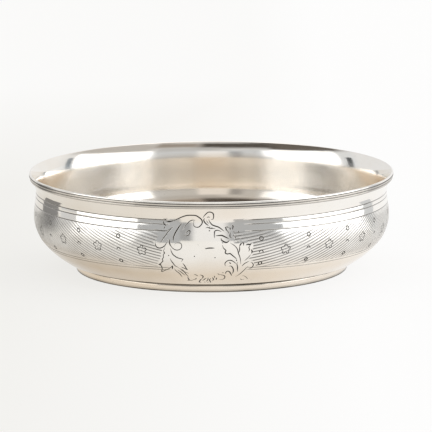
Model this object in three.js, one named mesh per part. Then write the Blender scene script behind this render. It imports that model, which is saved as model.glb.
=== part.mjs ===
// A small sterling silver bowl: a wall raised from one sheet, with a flared lip,
// a rounded belly and turned grooves, a reeded wire under the lip and a ring foot.
// Millimetres, +Z up. The origin is on the table, under the middle of the bowl.
// Every piece is a solid of revolution, so each one is drawn as a closed outline
// of (radius, height) points and revolved.

import * as THREE from 'three';

// Driving dimensions of the foot, an upright strip bent to a ring
const footDiameter = 111.8; // over the round edge it stands on
const footHeight = 3.45;
const footStrip = 1.3; // thickness of the strip at its base
const footTaper = 0.35; // how much thinner the strip is where it meets the bowl
const footEdge = 0.3; // radius of the worn edges it stands on
const footSolder = 0.7; // leg of the solder fillet inside the ring

// Driving dimensions of the wall, outside sizes, each height above the one before
const sheet = 0.75;
const bottomMargin = 0.1; // how far the flat bottom runs on past the foot
const tuckOverhang = 4; // how far the tuck, where the belly turns under, passes the foot
const tuckRise = 0.65; // above the flat bottom
const tuckAngle = 32.4; // of the wall there, from the table, in degrees
const tuckHandle = 7.3; // length of the curve's lower handle
const bellyDiameter = 146.4;
const bellyRise = 19.1; // above the flat bottom
const bellyHandle = 9.2; // length of the curve's upper handle, down from the belly
const neckDiameter = 144.6;
const neckRise = 10.35; // above the belly
const neckHandle = 3.4; // length of the upright handles between belly and neck
const lipFlare = 2.7; // how far the lip's edge stands out past the neck
const lipRise = 7.3; // above the neck
const lipThickness = 0.95; // the edge is hammered back thicker than the sheet
const coveReach = 1.3; // half the length of the bend from neck to lip
const bevelLength = 4.1; // the bright slope inside the lip, along the slope
const bevelSwell = 0.14; // how far the hammer left that slope rounded

// Turned grooves on the outside, as heights below the neck or above the tuck
const grooveWidth = 0.5;
const grooveDepth = 0.18;
const neckGrooves = [0.6, 2.3];
const bandTopGroove = 5; // upper border of the engine-turned band
const bandBottomGrooves = [7.4, 8.4]; // lower border, a pair

// Reeded wire under the lip: two reeds on a wedge that is soldered to the slope
const reedCount = 2;
const reedPitch = 0.98;
const reedBulge = 0.14;
const wireStart = 0.12; // from the edge's round, down the slope
const wireThin = 0.06; // above its seat, at the top
const wireThick = 0.55; // above its seat, at the bottom
const wireHeel = 0.35; // how far the seat runs on below the reeds
const solderFilm = 0.05; // between the wire and the slope

// Smoothness of the solids
const segments = 88;
const lowerSteps = 10;
const upperSteps = 4;
const bevelSteps = 3;
const bendSteps = 4;
const edgeSteps = 4;
const reedSteps = 4;
const footEdgeSteps = 2;
const taperSteps = 2;
const solderSteps = 3;

// Heights and radii worked out from the driving dimensions
const radians = Math.PI / 180;
const bottomHeight = footHeight;
const bottomRadius = footDiameter / 2 + bottomMargin;
const tuck = point(footDiameter / 2 + tuckOverhang, bottomHeight + tuckRise);
const belly = point(bellyDiameter / 2, bottomHeight + bellyRise);
const neck = point(neckDiameter / 2, belly.y + neckRise);
const lipDiameter = neckDiameter + 2 * lipFlare;
const lipTop = neck.y + lipRise;
const edgeRadius = lipThickness / 2;
const edgeCentre = point(lipDiameter / 2 - edgeRadius, lipTop - edgeRadius);

// The slope of the lip runs from the corner of the bend to touch the round edge
const bendCorner = point(neck.x, neck.y + coveReach);
const toEdge = edgeCentre.clone().sub(bendCorner);
const slopeAngle = Math.atan2(toEdge.x, toEdge.y) + Math.asin(edgeRadius / toEdge.length());
const upSlope = point(Math.sin(slopeAngle), Math.cos(slopeAngle));
const outOfSlope = point(Math.cos(slopeAngle), -Math.sin(slopeAngle));
const slopeTop = along(edgeCentre, outOfSlope, edgeRadius);

function point(radius, height) {
  return new THREE.Vector2(radius, height);
}

function along(start, direction, distance) {
  return start.clone().addScaledVector(direction, distance);
}

// A point given by its distance down the lip's slope and its height off the slope
function onSlope(down, off) {
  return along(along(slopeTop, upSlope, -down), outOfSlope, off);
}

function arc(centre, radius, startAngle, endAngle, steps) {
  const points = [];
  for (let i = 0; i <= steps; i++) {
    const angle = startAngle + ((endAngle - startAngle) * i) / steps;
    points.push(point(centre.x + radius * Math.cos(angle), centre.y + radius * Math.sin(angle)));
  }
  return points;
}

// Outside of the wall from the tuck up to the lip's slope, without its grooves
function lowerWall() {
  const handle = point(Math.cos(tuckAngle * radians), Math.sin(tuckAngle * radians));
  return new THREE.CubicBezierCurve(
    tuck,
    along(tuck, handle, tuckHandle),
    point(belly.x, belly.y - bellyHandle),
    belly,
  );
}

function upperWall() {
  return new THREE.CubicBezierCurve(
    belly,
    point(belly.x, belly.y + neckHandle),
    point(neck.x, neck.y - neckHandle),
    neck,
  );
}

function lipBend() {
  return new THREE.QuadraticBezierCurve(neck, bendCorner, along(bendCorner, upSlope, coveReach));
}

// Moves each point of an outline inwards, square to the wall
function inwards(points, thickness) {
  return points.map((here, i) => {
    const before = points[Math.max(i - 1, 0)];
    const after = points[Math.min(i + 1, points.length - 1)];
    const run = after.clone().sub(before).normalize();
    return point(here.x - run.y * thickness, here.y + run.x * thickness);
  });
}

// Radius of an outline at a height, between the points on either side of it
function radiusAt(outline, height) {
  const next = outline.findIndex((p) => p.y >= height);
  const above = outline[Math.max(next, 1)];
  const below = outline[Math.max(next, 1) - 1];
  const share = (height - below.y) / (above.y - below.y);
  return below.x + (above.x - below.x) * share;
}

// Cuts V-shaped turned grooves into an outline that rises from point to point
function withGrooves(outline, heights) {
  const half = grooveWidth / 2;
  const points = outline.filter((p) => heights.every((h) => Math.abs(p.y - h) > grooveWidth));
  for (const height of heights) {
    const [low, middle, high] = [height - half, height, height + half].map(
      (y) => point(radiusAt(outline, y), y),
    );
    const bottom = inwards([low, middle, high], grooveDepth)[1];
    points.push(low, bottom, high);
  }
  return points.sort((a, b) => a.y - b.y);
}

// Revolves a closed outline, drawn anticlockwise from the axis or back to its start
function revolve(outline) {
  const geometry = new THREE.LatheGeometry(outline, segments);
  geometry.rotateX(Math.PI / 2);
  return geometry;
}

function closed(outline) {
  return [...outline, outline[0].clone()];
}

// The bowl itself, one sheet from the middle of the bottom to the lip
function bowlBody() {
  const grooves = [
    ...neckGrooves.map((below) => neck.y - below),
    neck.y - bandTopGroove,
    ...bandBottomGrooves.map((above) => tuck.y + above),
  ];
  const outside = withGrooves(
    [
      ...lowerWall().getSpacedPoints(lowerSteps),
      ...upperWall().getSpacedPoints(upperSteps).slice(1),
      ...lipBend().getPoints(bendSteps).slice(1),
    ],
    grooves,
  );
  const underside = [
    point(0, bottomHeight),
    point(bottomRadius, bottomHeight),
  ];
  const edge = arc(edgeCentre, edgeRadius, -slopeAngle, Math.PI - slopeAngle, edgeSteps);

  const wall = [
    ...lowerWall().getSpacedPoints(lowerSteps),
    ...upperWall().getSpacedPoints(upperSteps).slice(1),
  ];
  const inside = inwards(wall, sheet);
  const innerNeck = inside[inside.length - 1];
  const bevelTop = along(edgeCentre, outOfSlope, -edgeRadius);
  const bevelFoot = along(bevelTop, upSlope, -bevelLength);
  const swollen = along(along(bevelTop, upSlope, -bevelLength / 2), outOfSlope, -2 * bevelSwell);
  const bevel = new THREE.QuadraticBezierCurve(bevelTop, swollen, bevelFoot);
  const downBevel = bevelFoot.clone().sub(swollen).normalize();
  const toNeck = (innerNeck.x - bevelFoot.x) / downBevel.x;
  const bend = new THREE.QuadraticBezierCurve(
    bevelFoot,
    along(bevelFoot, downBevel, toNeck),
    innerNeck,
  );
  const floor = [
    point(bottomRadius, bottomHeight + sheet),
    point(0, bottomHeight + sheet),
  ];
  return revolve([
    ...underside,
    ...outside,
    ...edge,
    ...bevel.getPoints(bevelSteps).slice(1),
    ...bend.getPoints(bendSteps).slice(1),
    ...inside.reverse().slice(1),
    ...floor,
  ]);
}

// Wedge-shaped wire with rounded reeds, seated on the slope under the lip's edge
function rimWire() {
  const reeds = [];
  const reedsLength = reedCount * reedPitch;
  for (let i = reedCount * reedSteps; i >= 0; i--) {
    const down = (i / reedSteps) * reedPitch;
    const base = wireThin + (wireThick - wireThin) * (down / reedsLength);
    const bulge = reedBulge * Math.abs(Math.sin((Math.PI * i) / reedSteps));
    reeds.push(onSlope(wireStart + down, solderFilm + base + bulge));
  }
  const seat = [
    onSlope(wireStart, solderFilm),
    onSlope(wireStart + reedsLength + wireHeel, solderFilm),
  ];
  return revolve(closed([...reeds, ...seat]));
}

// Upright strip with worn lower edges, thinner at the top, standing under the bottom
function footRing() {
  const outer = footDiameter / 2;
  const inner = outer - footStrip;
  const quarter = Math.PI / 2;
  const taper = new THREE.QuadraticBezierCurve(
    point(outer, footEdge),
    point(outer, footHeight / 2),
    point(outer - footTaper, footHeight),
  );
  return revolve(closed([
    ...arc(point(inner + footEdge, footEdge), footEdge, 2 * quarter, 3 * quarter, footEdgeSteps),
    ...arc(point(outer - footEdge, footEdge), footEdge, -quarter, 0, footEdgeSteps),
    ...taper.getPoints(taperSteps).slice(1),
    point(inner, footHeight),
  ]));
}

// Hollow fillet of hard solder in the corner between the foot and the bottom
function footSolderSeam() {
  const corner = point(footDiameter / 2 - footStrip - solderFilm, footHeight);
  const hollow = new THREE.QuadraticBezierCurve(
    point(corner.x - footSolder, corner.y),
    corner,
    point(corner.x, corner.y - footSolder),
  );
  return revolve(closed([...hollow.getPoints(solderSteps), corner]));
}

// Finishes
const polishedSilver = { color: '#dcd8cf', roughness: 0.12, metalness: 1 };
const greySolder = { color: '#c3beb4', roughness: 0.35, metalness: 1 };

function piece(name, geometry, finish) {
  const mesh = new THREE.Mesh(geometry, new THREE.MeshStandardMaterial(finish));
  mesh.name = name;
  return mesh;
}

const bowl = new THREE.Group();
bowl.add(piece('bowl_body', bowlBody(), polishedSilver));
bowl.add(piece('rim_wire', rimWire(), polishedSilver));
bowl.add(piece('foot_ring', footRing(), polishedSilver));
bowl.add(piece('foot_solder', footSolderSeam(), greySolder));

export default bowl;
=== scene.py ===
# A small sterling silver bowl with a flared reeded lip, an engraved blank cartouche in a band of
# engine turning, and a ring foot, in a plain pale studio. Sections and cuts are worked out in
# millimetres and the meshes are made in metres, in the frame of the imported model.
import math
from bisect import bisect_left, bisect_right

import bpy
import numpy as np
from mathutils import Matrix, Vector


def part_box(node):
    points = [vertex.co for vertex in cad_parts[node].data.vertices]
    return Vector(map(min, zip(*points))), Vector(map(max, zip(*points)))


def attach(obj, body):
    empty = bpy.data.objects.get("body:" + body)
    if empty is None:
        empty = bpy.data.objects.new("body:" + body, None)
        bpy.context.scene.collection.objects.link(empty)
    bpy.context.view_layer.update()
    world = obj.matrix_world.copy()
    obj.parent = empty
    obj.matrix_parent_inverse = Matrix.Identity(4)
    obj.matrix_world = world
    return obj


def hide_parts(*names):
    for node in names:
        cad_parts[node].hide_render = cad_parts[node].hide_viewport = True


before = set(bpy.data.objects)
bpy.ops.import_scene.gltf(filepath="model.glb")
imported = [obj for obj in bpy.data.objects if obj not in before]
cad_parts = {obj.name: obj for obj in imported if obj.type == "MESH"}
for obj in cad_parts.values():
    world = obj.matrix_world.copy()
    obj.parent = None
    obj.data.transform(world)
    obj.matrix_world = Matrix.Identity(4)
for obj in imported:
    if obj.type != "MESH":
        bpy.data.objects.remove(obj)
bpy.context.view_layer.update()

MM = 0.001
FULL_TURN = 2 * math.pi
PICTURE = 432  # pixels along a side of the photograph

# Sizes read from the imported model, in millimetres
_, foot_high = (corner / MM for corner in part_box("foot_ring"))
bowl_low, bowl_high = (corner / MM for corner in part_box("bowl_body"))
solder_low, solder_high = (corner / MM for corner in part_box("foot_solder"))
FOOT_RADIUS = foot_high.x
FOOT_HEIGHT = foot_high.z
LIP_RADIUS = bowl_high.x
BOTTOM = bowl_low.z
SOLDER_RADIUS = solder_high.x
SOLDER_LEG = solder_high.z - solder_low.z

# Sizes of the wall and its grooves, in millimetres, as the model has them
SHEET = 0.75
BOTTOM_MARGIN = 0.1
TUCK_OVERHANG = 4.0
TUCK_RISE = 0.65
TUCK_ANGLE = math.radians(32.4)
TUCK_HANDLE = 7.3
BELLY_RADIUS = 73.2
BELLY_RISE = 19.1
BELLY_HANDLE = 9.2
LIP_FLARE = 2.7
NECK_RISE = 10.35
NECK_HANDLE = 3.4
LIP_RISE = 7.3
LIP_THICKNESS = 0.95
COVE_REACH = 1.3
BEVEL_LENGTH = 4.1
BEVEL_SWELL = 0.14  # of the slope inside the lip, which the hammer left a little round
GROOVE_WIDTH = 0.5
GROOVE_DEPTH = 0.18

TUCK = np.array([FOOT_RADIUS + TUCK_OVERHANG, BOTTOM + TUCK_RISE])
BELLY = np.array([BELLY_RADIUS, BOTTOM + BELLY_RISE])
NECK = np.array([LIP_RADIUS - LIP_FLARE, BELLY[1] + NECK_RISE])
NECK_GROOVES = (NECK[1] - 0.6, NECK[1] - 2.3)
BAND_TOP = NECK[1] - 5
BAND_BOTTOM = TUCK[1] + 8.4
SECOND_LINE = TUCK[1] + 7.4
TURNED_GROOVES = (SECOND_LINE, BAND_BOTTOM, BAND_TOP, *reversed(NECK_GROOVES))
EDGE_RADIUS = LIP_THICKNESS / 2
EDGE_CENTRE = np.array([LIP_RADIUS - EDGE_RADIUS, NECK[1] + LIP_RISE - EDGE_RADIUS])

# The lip's slope runs from the corner of the cove to touch the round edge
COVE_CORNER = NECK + (0, COVE_REACH)
to_edge = EDGE_CENTRE - COVE_CORNER
SLOPE = math.atan2(*to_edge) + math.asin(EDGE_RADIUS / np.linalg.norm(to_edge))
UP_SLOPE = np.array([math.sin(SLOPE), math.cos(SLOPE)])
OUT_OF_SLOPE = np.array([math.cos(SLOPE), -math.sin(SLOPE)])
SLOPE_TOP = EDGE_CENTRE + OUT_OF_SLOPE * EDGE_RADIUS

# Ornament: rings and florets take turns, this many of each round the bowl
REPEATS = 22
STEP = FULL_TURN / REPEATS
# Height, radius, width of the stroke, start and sweep of the two rings and the arch between
RINGS = (
    (24.7, 0.8, 0.95, 0, FULL_TURN),
    (19.2, 0.75, 1.0, 0, math.pi),
    (14.3, 0.72, 1.15, 0, FULL_TURN),
)
FLORET_HEIGHT = 19.6
FLORET_DOT = 0.8
FLORET_TURN = 0.25  # as a share of the step from petal to petal
PETALS = 5
PETAL_RADIUS = 0.62
PETAL_REACH = 1.42  # from the middle of the floret to the middle of a petal
PETAL_WIDTH = 0.85
PETAL_SWEEP = 1.24 * math.pi
# The engraver set the ornament out by eye: how far it stands off an even spacing, in degrees
SET_OUT = ((-180, -75, -10, 10, 75, 180), (0, -2.1, -2.1, 0.65, 0.65, 0))
HIDDEN = (-1.4, 0.6)  # motifs with numbers between these give way to the cartouche
CUT_WIDTH = 0.5  # of the graver's full line
CUT_DEPTH = 0.13
STROKE_STEP = 0.4  # from point to point of a stroke
CARTOUCHE_MIDDLE = -0.02  # angle round the bowl, in radians
CARTOUCHE_REACH = 0.21
GROOVE_FADE = 30  # how fast the turned grooves come back beside the cartouche, per radian

# The real engine turning has about three lines to the millimetre, too fine to show in the
# render, so it is drawn as coarse as the ripples that it makes in the photograph.
TURNING_PITCH = 1.25
TURNING_LIFT = 49.2  # how far a line climbs from the front of the bowl to its side
TURNING_DEPTH = 0.05

# The mesh of the bowl
COLUMNS = 208
UNITS = 16  # a column or row can be split into this many
FINEST_CELL = 0.15
FIRST_ROW = 8  # its distance from the axis
GROOVE_ROWS = 7
FAR = 9.0  # stands for the distance of a cut that is out of reach
CUT_REACH = 2.5
POINTS_AT_A_TIME = 20000  # so that the distances to a long stroke fit in memory


# The camera: where the photograph's camera stands, from the outline of the bowl
CAMERA_ELEVATION = math.radians(10.91)
CAMERA_ROLL = math.radians(-0.3)
CAMERA_DISTANCE = 1.875
PIXELS_PER_METRE = 2418.0  # at the middle of the foot
FOOT_MIDDLE_PIXEL = (211.44, 266.14)


def photograph_camera():
    back = Vector((0, -math.cos(CAMERA_ELEVATION), math.sin(CAMERA_ELEVATION)))
    right = Vector((1, 0, 0))
    up = back.cross(right)
    aim_right = (PICTURE / 2 - FOOT_MIDDLE_PIXEL[0]) / PIXELS_PER_METRE
    aim_up = (FOOT_MIDDLE_PIXEL[1] - PICTURE / 2) / PIXELS_PER_METRE
    place = back * CAMERA_DISTANCE
    aim = right * aim_right + up * aim_up
    data = bpy.data.cameras.new("photograph_camera")
    data.sensor_width = 36
    data.lens = data.sensor_width * PIXELS_PER_METRE * CAMERA_DISTANCE / PICTURE
    data.clip_start = 0.05
    camera = bpy.data.objects.new("photograph_camera", data)
    turn = (aim - place).to_track_quat("-Z", "Y").to_matrix().to_4x4()
    camera.matrix_world = Matrix.Translation(place) @ turn @ Matrix.Rotation(CAMERA_ROLL, 4, "Z")
    bpy.context.scene.collection.objects.link(camera)
    bpy.context.scene.camera = camera
    return camera


def bezier(points, count):
    share = np.linspace(0, 1, count)[:, None]
    points = [np.asarray(point, float)[None, :] for point in points]
    while len(points) > 1:
        points = [a * (1 - share) + b * share for a, b in zip(points, points[1:])]
    return points[0]


def straight(start, end, step=0.5):
    start, end = np.asarray(start, float), np.asarray(end, float)
    count = max(2, int(np.linalg.norm(end - start) / step) + 1)
    return start + np.linspace(0, 1, count)[:, None] * (end - start)


def arc(centre, radius, start, end, count):
    angle = np.linspace(start, end, count)
    return np.asarray(centre) + radius * np.stack([np.cos(angle), np.sin(angle)], axis=1)


def joined(*stretches):
    """One line of points from stretches that touch end to end, without the doubles."""
    points = np.concatenate(stretches)
    run = np.linalg.norm(np.diff(points, axis=0), axis=1)
    return points[np.concatenate([[True], run > 1e-6])]


def lengths_along(points):
    run = np.linalg.norm(np.diff(points, axis=0), axis=1)
    return np.concatenate([[0], np.cumsum(run)])


def outward(points):
    """Unit normals of a section that has its metal on the left."""
    run = np.gradient(points, axis=0)
    run /= np.linalg.norm(run, axis=1)[:, None]
    return np.stack([run[:, 1], -run[:, 0]], axis=1)


# Section of the bowl, from the axis under the bottom, out and up to the lip, and back inside.
# The last number of each curve is how many points it has.
def bowl_section():
    handle = TUCK + TUCK_HANDLE * np.array([math.cos(TUCK_ANGLE), math.sin(TUCK_ANGLE)])
    lower = bezier([TUCK, handle, BELLY - (0, BELLY_HANDLE), BELLY], 500)
    upper = bezier([BELLY, BELLY + (0, NECK_HANDLE), NECK - (0, NECK_HANDLE), NECK], 220)
    cove = bezier([NECK, COVE_CORNER, COVE_CORNER + UP_SLOPE * COVE_REACH], 60)
    wall = joined(lower, upper)
    inner_wall = (wall - outward(wall) * SHEET)[::-1]
    edge = arc(EDGE_CENTRE, EDGE_RADIUS, -SLOPE, math.pi - SLOPE, 40)
    bevel_foot = edge[-1] - UP_SLOPE * BEVEL_LENGTH
    swollen = (edge[-1] + bevel_foot) / 2 - 2 * BEVEL_SWELL * OUT_OF_SLOPE
    bevel = bezier([edge[-1], swollen, bevel_foot], 40)
    down_bevel = bevel_foot - swollen
    to_neck = (inner_wall[0, 0] - bevel_foot[0]) / down_bevel[0]
    bend = bezier([bevel_foot, bevel_foot + to_neck * down_bevel, inner_wall[0]], 60)
    bottom_edge = FOOT_RADIUS + BOTTOM_MARGIN
    underside = joined(
        straight((0, BOTTOM), (bottom_edge, BOTTOM)),
        straight((bottom_edge, BOTTOM), TUCK),
    )
    floor = joined(
        straight(inner_wall[-1], (bottom_edge, BOTTOM + SHEET)),
        straight((bottom_edge, BOTTOM + SHEET), (0, BOTTOM + SHEET)),
    )
    outside = joined(underside, wall, cove, straight(cove[-1], SLOPE_TOP))
    inside = joined(bevel, bend, inner_wall, floor)
    return outside, joined(outside, edge, inside)


OUTSIDE, SECTION = bowl_section()
ALONG = lengths_along(SECTION)
SECTION_NORMALS = outward(SECTION)
INNER_BEND = 3.5  # length of the bend from the bevel to the neck, inside
FIRST_WALL_POINT = int(np.argmin(np.linalg.norm(OUTSIDE - TUCK, axis=1)))
WALL = OUTSIDE[FIRST_WALL_POINT:]
WALL_ALONG = ALONG[FIRST_WALL_POINT:len(OUTSIDE)]
BEVEL_FOOT = WALL_ALONG[-1] + math.pi * EDGE_RADIUS + BEVEL_LENGTH


def along_at(height):
    """Place along the section of a height on the outside of the wall, above the tuck."""
    return np.interp(height, WALL[:, 1], WALL_ALONG)


def bump_shape(distance, half_width):
    """A rounded V that is 1 in its middle and 0 past its half width."""
    share = np.clip(np.abs(distance) / half_width, 0, 1)
    return 0.5 + 0.5 * np.cos(math.pi * share)


# Strokes are polylines in the chart of the wall: angle round the bowl from the front, in
# radians, and place along the section, in millimetres. Each has a half width at each point.
def smooth_stroke(points, width):
    """A spline through the points, as wide as it gets for most of its length, with ends that
    taper as a graver's line does."""
    points = np.asarray(points, float)
    padded = np.concatenate([2 * points[:1] - points[1:2], points, 2 * points[-1:] - points[-2:-1]])
    curve = []
    for p0, p1, p2, p3 in zip(padded, padded[1:], padded[2:], padded[3:]):
        steps = max(2, int(np.linalg.norm((p2 - p1) * (BELLY_RADIUS, 1)) / STROKE_STEP))
        t = np.linspace(0, 1, steps, endpoint=False)[:, None]
        curve.append(0.5 * (
            2 * p1 + (p2 - p0) * t + (2 * p0 - 5 * p1 + 4 * p2 - p3) * t**2
            + (3 * p1 - p0 - 3 * p2 + p3) * t**3
        ))
    curve = np.concatenate([*curve, points[-1:]])
    share = lengths_along(curve * (BELLY_RADIUS, 1))
    share /= share[-1]
    taper = np.sin(math.pi * np.clip(share, 0.04, 0.96)) ** 0.45
    return curve, 0.5 * CUT_WIDTH * width * taper


def ring(angle, along, radius, width, start, sweep):
    turn = np.linspace(start, start + sweep, 15)
    curve = np.stack([
        angle + radius * np.cos(turn) / BELLY_RADIUS,
        along + radius * np.sin(turn),
    ], axis=1)
    return curve, np.full(len(curve), 0.5 * CUT_WIDTH * width)


def dot(angle, along, width):
    """A punched dot, as a stroke too short to see."""
    curve = np.array([[angle, along - 0.02], [angle, along + 0.02]])
    return curve, np.full(2, 0.5 * CUT_WIDTH * width)


def floret_motif():
    """Petals about a dot, each a round stroke that is open to the middle."""
    middle = along_at(FLORET_HEIGHT)
    cuts = [dot(0, middle, FLORET_DOT)]
    for petal in range(PETALS):
        turn = FULL_TURN * (petal + FLORET_TURN) / PETALS
        angle = PETAL_REACH * math.cos(turn) / BELLY_RADIUS
        place = middle + PETAL_REACH * math.sin(turn)
        start = turn - PETAL_SWEEP / 2
        cuts.append(ring(angle, place, PETAL_RADIUS, PETAL_WIDTH, start, PETAL_SWEEP))
    return cuts


# Cartouche: strokes read off the photograph, as pixels of its 432 by 432. Each starts
# with its width, as a share of the graver's full line.
TOP_LEFT_SCROLL = (
    (1.2, (167.6, 221.1), (173, 220.6), (177.5, 218.9), (182.1, 216.9), (186.7, 215.5),
     (191.3, 215.3), (195.7, 215.6), (199.3, 217.6), (201.7, 219.9), (202.3, 222.5),
     (201.2, 224.8), (198.7, 227), (195.9, 227.2), (193.8, 225.7), (193.2, 223.6), (193.9, 220.9)),
    (0.9, (182.9, 229.8), (185.4, 225.9), (189, 221.8), (192.1, 220.1), (195, 220.3)),
    (0.7, (152, 229.2), (159.7, 230.2), (166.3, 230.7), (171.4, 227.9), (174.2, 225.9)),
    (1.1, (163.5, 220.8), (163.8, 223.5), (166.5, 225.9)),
    (1.2, (164.8, 226.4), (164.2, 228.8)),
    (1, (164.2, 219.2), (166.4, 219.5)),
    (1.1, (166, 221.2), (169.5, 221.6), (173.5, 220.8)),
    (1, (183.9, 235.3), (186.4, 235.8), (188.7, 234.8), (190, 232.5), (189.5, 230.4),
     (187.2, 231.5), (185.4, 233.5)),
)
LEFT_STEM = (
    (1.6, (182.4, 223), (180, 225.4), (177.5, 229.2), (175.7, 232.2), (174.2, 235.3),
     (173.3, 238.6), (173.4, 241.9)),
    (1.1, (158.9, 243.5), (161.7, 240.9), (163.2, 238.4), (165.3, 235.8), (167.4, 232.8),
     (170, 229.9), (173.2, 227)),
    (1.1, (156.4, 241.6), (155.4, 244), (156.4, 246.8), (159, 248), (162, 247.6),
     (164.8, 245.6), (166.4, 243), (167.8, 240)),
    (0.8, (174.5, 245), (175.7, 243.1), (178.7, 242.8), (181, 243.6), (181.7, 246.3),
     (180.6, 248.9), (176.8, 250.1), (173, 248.5), (170.5, 245.1), (169.5, 240.5)),
    (1.1, (169.3, 239.1), (169.6, 243.7), (170.9, 246.3)),
)
LEFT_LEAF = (
    (1.1, (170.4, 248.6), (171.4, 251.7), (172.9, 254.5), (175, 256.2), (177.5, 257.8),
     (182.4, 259.1), (182.6, 259.8), (181.3, 261.6)),
    (1.1, (182.6, 263.4), (184.1, 264.9), (185.7, 267.5), (187.2, 269.8)),
    (1, (181.3, 267), (184.7, 268.5), (187.2, 269.8)),
    (1.5, (186, 268.9), (187.6, 269.9)),
    (1, (169.9, 258.3), (171.4, 261.1), (173.2, 263.4), (175, 265.7), (178.8, 267.7)),
    (1, (164.8, 245.3), (164.5, 249.1), (163.2, 250.6), (164.5, 252.7), (163.2, 255),
     (163.5, 257.3), (162.2, 259.3), (163, 260.8), (162.2, 261.9), (160.2, 263.9),
     (158.9, 264.4), (161.2, 265.7), (162.2, 269), (161.7, 271.6), (165.3, 270.3),
     (170.1, 268), (172.4, 265.9), (172.4, 269.3)),
    (1.5, (164.1, 251.8), (164.4, 253.8)),
    (1.5, (159.2, 264.6), (161.2, 264.8)),
    (1.5, (172.4, 265.6), (172.4, 269)),
    (1, (174.2, 268.5), (176.5, 271.3), (179.6, 273.6), (182.4, 277.2)),
    (1, (177.5, 269.8), (181.3, 272.3), (185.2, 275.4)),
    (0.9, (180.1, 269.3), (183.4, 271.3), (189, 273.6)),
    (0.9, (178, 267.8), (182.6, 270), (186.4, 274.6), (189.2, 277.6)),
)
TOP_RIGHT_VOLUTE = (
    (1.2, (203, 217.7), (204.1, 216), (205.9, 214.1), (208.4, 212.2), (211.7, 212.5),
     (213.4, 214.2), (213.6, 217), (212.9, 219.2), (211.2, 219.5)),
    (0.8, (206.9, 217.7), (208.4, 216.9), (209.9, 217.6)),
    (1.2, (204.5, 218.3), (203.7, 220), (204.5, 222), (205.9, 223.6), (208.4, 225.6)),
    (1.2, (208.7, 219.5), (209.7, 221.8), (211.2, 223.8), (212.7, 225.1), (215.5, 226.1),
     (218.6, 227.1), (221, 228.7), (224.2, 231.2)),
    (0.6, (206.4, 220), (207.3, 222), (209, 224)),
    (0.9, (205.7, 228.2), (207.4, 227.2), (210, 228.3), (215.3, 228.5)),
    (0.7, (210.1, 226.2), (209.4, 228)),
    (0.7, (212.5, 227.3), (211, 228.3)),
)
UPPER_RIGHT_LEAF = (
    (1, (221.4, 231.6), (219, 230.6), (216.6, 230.3), (214.8, 231.2), (214.4, 233.5),
     (214.4, 235.8), (214.5, 238)),
    (1.3, (216.1, 235.7), (219, 235.5), (221.9, 235.4), (224.2, 236.4), (228.9, 238.6)),
    (1.3, (225.4, 226.9), (226, 228.7), (226.6, 230.9)),
    (0.9, (225.8, 227.3), (226.9, 226.8), (228.9, 227.6)),
    (0.9, (226.8, 229.8), (228.1, 231.8), (228.7, 234.2)),
    (1.1, (230, 227), (230.3, 230.2)),
    (1.3, (231.7, 225.4), (233.1, 225.9), (232.9, 227.6), (232.5, 230.3)),
    (1, (230.3, 232), (230, 236.6), (232.2, 237.7)),
    (1.4, (221.1, 238.4), (221.6, 240.1), (223.2, 241.3), (224.9, 242.1), (226.9, 242.4),
     (228.3, 241.4), (229.4, 240.3)),
    (0.7, (221.8, 242.2), (223.2, 243.4)),
    (1.2, (222.4, 245.3), (223.2, 247.6), (224.6, 249.2), (226, 250.7), (225.2, 252.1),
     (225.8, 253.5), (227.7, 254), (230, 253.5), (231.4, 254.6), (234.5, 257.1),
     (236.2, 258.8), (236.7, 260.5)),
    (0.9, (230.3, 242.8), (232.5, 244.2), (234.8, 245.9), (237.3, 249), (238.4, 253.2),
     (239.5, 256), (240.4, 259.4), (240.7, 264.4)),
)
TULIP_LEAF = (
    (1, (239.5, 246.2), (239.7, 249), (239.2, 251.5), (238.4, 253.2)),
    (1.4, (239.6, 246.2), (240.4, 244.6), (241.8, 242.8)),
    (1.1, (241.8, 242.8), (243.5, 242.8), (243.5, 245.6)),
    (1.4, (246, 244.9), (248.2, 244.2), (250.2, 244.6), (251.5, 242.8)),
    (0.9, (250.5, 245.3), (248.8, 247.3), (249.6, 249.5), (248.5, 251.5)),
    (1.5, (251.3, 249.6), (252.2, 251.5), (251.6, 253.4)),
    (0.8, (251, 254.3), (248.8, 256.9), (246.3, 259.3), (244.3, 261)),
)
LOWER_RIGHT_SCROLL = (
    (1, (241.8, 266.3), (243.7, 264.3), (245.7, 262.9), (249.1, 261.2)),
    (1, (250.5, 262.1), (251.9, 262.6), (253.4, 264.7), (252.4, 266.8), (250.8, 268.2),
     (248.5, 268.7)),
    (0.9, (249.1, 266.3), (247.4, 266.9), (245.7, 268.5), (243.7, 270.5), (239.2, 274.4),
     (235.3, 277)),
    (0.7, (242.3, 275.3), (245.1, 276.4), (246.8, 277.8), (247.7, 278.7), (246, 279.2)),
    (0.8, (240.1, 278.7), (241.8, 279.8), (244.3, 279.2)),
    (1.1, (236.2, 264), (234.5, 262.4), (232.8, 261.2), (230.8, 260.3), (228.4, 260.5),
     (226.2, 261.7), (225, 263.3), (225, 265), (225.8, 266.2)),
    (1.3, (229.2, 262.4), (231, 263.8)),
    (1.2, (228.9, 266.4), (230.3, 265.9), (231.9, 266.7), (233.3, 269.5), (233.1, 272.2),
     (232.2, 273.9)),
    (1.3, (225.2, 273.9), (226, 272.2), (227.6, 271.1), (229.3, 271.7), (230.5, 273.3),
     (231.7, 275.8)),
    (1, (237.6, 262.1), (236.9, 264), (237.5, 266.7), (237.4, 269.7), (237.6, 271.9)),
)
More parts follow.
